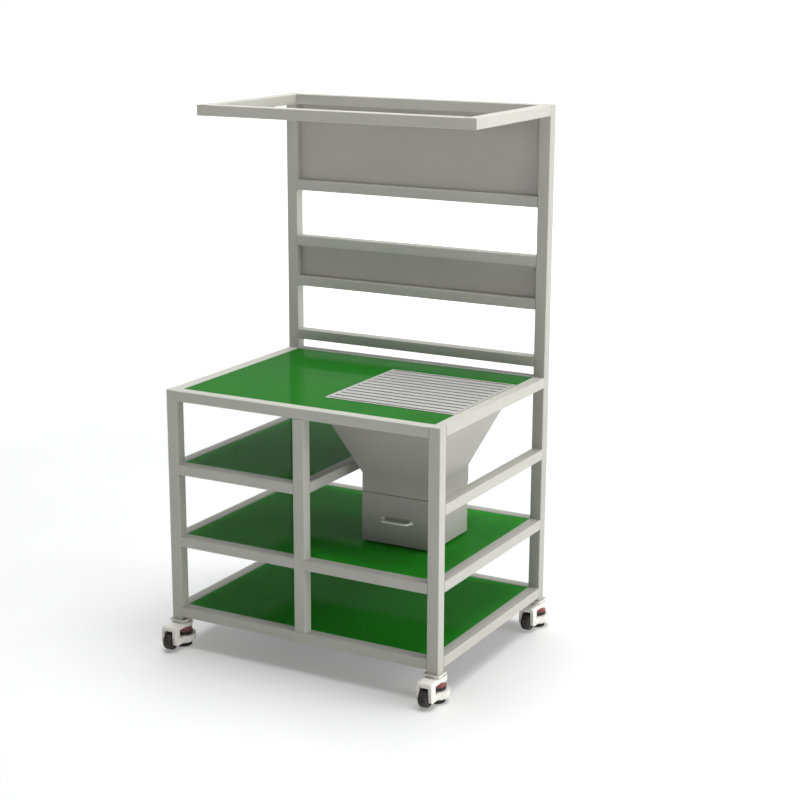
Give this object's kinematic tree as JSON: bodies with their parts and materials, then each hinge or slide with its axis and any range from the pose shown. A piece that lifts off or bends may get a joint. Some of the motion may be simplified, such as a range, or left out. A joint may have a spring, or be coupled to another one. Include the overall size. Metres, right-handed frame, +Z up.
{
  "type": "inspection table",
  "caption": "Standing-height inspection bench of square tube on levelling casters, with green shelves, a tool rack, and a grate over a hopper and drawer for rejects.",
  "frame": {"origin": "on the floor, at the middle of the bounding box", "axes": "+Z up, +X to the right as seen from the working side, -Y towards the person who stands at the bench"},
  "size_m": [1.047, 0.8928, 1.7815],
  "materials": {
    "frame_paint": "light grey powder coat, satin",
    "sheet_paint": "grey painted sheet metal, satin",
    "green_laminate": "glossy green laminate",
    "grate_steel": "light grey painted slats",
    "handle_steel": "satin steel rod",
    "cast_aluminium": "ivory paint on a die casting",
    "black_rubber": "matt black",
    "thumbwheel_plastic": "dull red over a black grip"
  },
  "bodies": {
    "table": {"leg_front_left": "frame_paint", "leg_front_middle": "frame_paint", "leg_front_right": "frame_paint", "leg_back_middle": "frame_paint", "upright_left": "frame_paint", "upright_right": "frame_paint", "rail_top_front": "frame_paint", "rail_top_back": "frame_paint", "rail_top_left": "frame_paint", "rail_top_right": "frame_paint", "rail_upper_front": "frame_paint", "rail_upper_back": "frame_paint", "rail_upper_left": "frame_paint", "rail_upper_right": "frame_paint", "rail_upper_middle": "frame_paint", "rail_middle_front_left": "frame_paint", "rail_middle_front_right": "frame_paint", "rail_middle_back": "frame_paint", "rail_middle_left": "frame_paint", "rail_middle_right": "frame_paint", "rail_bottom_front": "frame_paint", "rail_bottom_back": "frame_paint", "rail_bottom_left": "frame_paint", "rail_bottom_right": "frame_paint", "crossbar_low": "frame_paint", "crossbar_lower": "frame_paint", "crossbar_upper": "frame_paint", "crossbar_high": "frame_paint", "overhead_left": "frame_paint", "overhead_right": "frame_paint", "overhead_front": "frame_paint", "overhead_back": "frame_paint", "back_panel_lower": "sheet_paint", "back_panel_upper": "sheet_paint", "worktop": "green_laminate", "shelf_upper": "green_laminate", "shelf_middle": "green_laminate", "shelf_bottom": "green_laminate", "hopper": "sheet_paint", "drawer_case": "sheet_paint"},
    "drawer": {"drawer": "sheet_paint", "drawer_handle": "handle_steel"},
    "grate": {"grate": "grate_steel"},
    "caster_front_left": {"caster_front_left_housing": "cast_aluminium"},
    "caster_front_left_wheel": {"caster_front_left_wheel": "black_rubber"},
    "caster_front_left_thumbwheel": {"caster_front_left_thumbwheel": "thumbwheel_plastic"},
    "caster_front_left_foot": {"caster_front_left_foot": "black_rubber"},
    "caster_front_right": {"caster_front_right_housing": "cast_aluminium"},
    "caster_front_right_wheel": {"caster_front_right_wheel": "black_rubber"},
    "caster_front_right_thumbwheel": {"caster_front_right_thumbwheel": "thumbwheel_plastic"},
    "caster_front_right_foot": {"caster_front_right_foot": "black_rubber"},
    "caster_back_left": {"caster_back_left_housing": "cast_aluminium"},
    "caster_back_left_wheel": {"caster_back_left_wheel": "black_rubber"},
    "caster_back_left_thumbwheel": {"caster_back_left_thumbwheel": "thumbwheel_plastic"},
    "caster_back_left_foot": {"caster_back_left_foot": "black_rubber"},
    "caster_back_right": {"caster_back_right_housing": "cast_aluminium"},
    "caster_back_right_wheel": {"caster_back_right_wheel": "black_rubber"},
    "caster_back_right_thumbwheel": {"caster_back_right_thumbwheel": "thumbwheel_plastic"},
    "caster_back_right_foot": {"caster_back_right_foot": "black_rubber"}
  },
  "joints": [
    {"name": "drawer_slide", "type": "slide", "parent": "table", "child": "drawer", "axis": [0, -1, 0], "range_m": [0, 0.2]},
    {"name": "grate_lift", "type": "slide", "parent": "table", "child": "grate", "axis": [0, 0, 1], "range_m": [0, 0.06]},
    {"name": "caster_front_left_swivel", "type": "hinge", "parent": "table", "child": "caster_front_left", "pos_m": [-0.48, -0.35564, 0.09], "axis": [0, 0, 1], "continuous": true},
    {"name": "caster_front_left_roll", "type": "hinge", "parent": "caster_front_left", "child": "caster_front_left_wheel", "pos_m": [-0.48, -0.41663, 0.03474], "axis": [1, 0, 0], "continuous": true},
    {"name": "caster_front_left_thumbwheel_turn", "type": "hinge", "parent": "caster_front_left", "child": "caster_front_left_thumbwheel", "pos_m": [-0.48, -0.34764, 0.05], "axis": [0, 0, 1], "range_deg": [-900, 900]},
    {"name": "caster_front_left_foot_slide", "type": "slide", "parent": "caster_front_left", "child": "caster_front_left_foot", "axis": [0, 0, -1], "range_m": [-0.00505, 0.00505]},
    {"name": "caster_front_right_swivel", "type": "hinge", "parent": "table", "child": "caster_front_right", "pos_m": [0.48, -0.35564, 0.09], "axis": [0, 0, 1], "continuous": true},
    {"name": "caster_front_right_roll", "type": "hinge", "parent": "caster_front_right", "child": "caster_front_right_wheel", "pos_m": [0.48, -0.41663, 0.03474], "axis": [1, 0, 0], "continuous": true},
    {"name": "caster_front_right_thumbwheel_turn", "type": "hinge", "parent": "caster_front_right", "child": "caster_front_right_thumbwheel", "pos_m": [0.48, -0.34764, 0.05], "axis": [0, 0, 1], "range_deg": [-900, 900]},
    {"name": "caster_front_right_foot_slide", "type": "slide", "parent": "caster_front_right", "child": "caster_front_right_foot", "axis": [0, 0, -1], "range_m": [-0.00505, 0.00505]},
    {"name": "caster_back_left_swivel", "type": "hinge", "parent": "table", "child": "caster_back_left", "pos_m": [-0.48, 0.39436, 0.09], "axis": [0, 0, 1], "continuous": true},
    {"name": "caster_back_left_roll", "type": "hinge", "parent": "caster_back_left", "child": "caster_back_left_wheel", "pos_m": [-0.48, 0.33337, 0.03474], "axis": [1, 0, 0], "continuous": true},
    {"name": "caster_back_left_thumbwheel_turn", "type": "hinge", "parent": "caster_back_left", "child": "caster_back_left_thumbwheel", "pos_m": [-0.48, 0.40236, 0.05], "axis": [0, 0, 1], "range_deg": [-900, 900]},
    {"name": "caster_back_left_foot_slide", "type": "slide", "parent": "caster_back_left", "child": "caster_back_left_foot", "axis": [0, 0, -1], "range_m": [-0.00505, 0.00505]},
    {"name": "caster_back_right_swivel", "type": "hinge", "parent": "table", "child": "caster_back_right", "pos_m": [0.48, 0.39436, 0.09], "axis": [0, 0, 1], "continuous": true},
    {"name": "caster_back_right_roll", "type": "hinge", "parent": "caster_back_right", "child": "caster_back_right_wheel", "pos_m": [0.48, 0.33337, 0.03474], "axis": [1, 0, 0], "continuous": true},
    {"name": "caster_back_right_thumbwheel_turn", "type": "hinge", "parent": "caster_back_right", "child": "caster_back_right_thumbwheel", "pos_m": [0.48, 0.40236, 0.05], "axis": [0, 0, 1], "range_deg": [-900, 900]},
    {"name": "caster_back_right_foot_slide", "type": "slide", "parent": "caster_back_right", "child": "caster_back_right_foot", "axis": [0, 0, -1], "range_m": [-0.00505, 0.00505]}
  ],
  "couplings": [
    {"joint": "caster_front_left_foot_slide", "follows": "caster_front_left_thumbwheel_turn", "m_per_rad": 0.00031831},
    {"joint": "caster_front_right_foot_slide", "follows": "caster_front_right_thumbwheel_turn", "m_per_rad": 0.00031831},
    {"joint": "caster_back_left_foot_slide", "follows": "caster_back_left_thumbwheel_turn", "m_per_rad": 0.00031831},
    {"joint": "caster_back_right_foot_slide", "follows": "caster_back_right_thumbwheel_turn", "m_per_rad": 0.00031831}
  ]
}
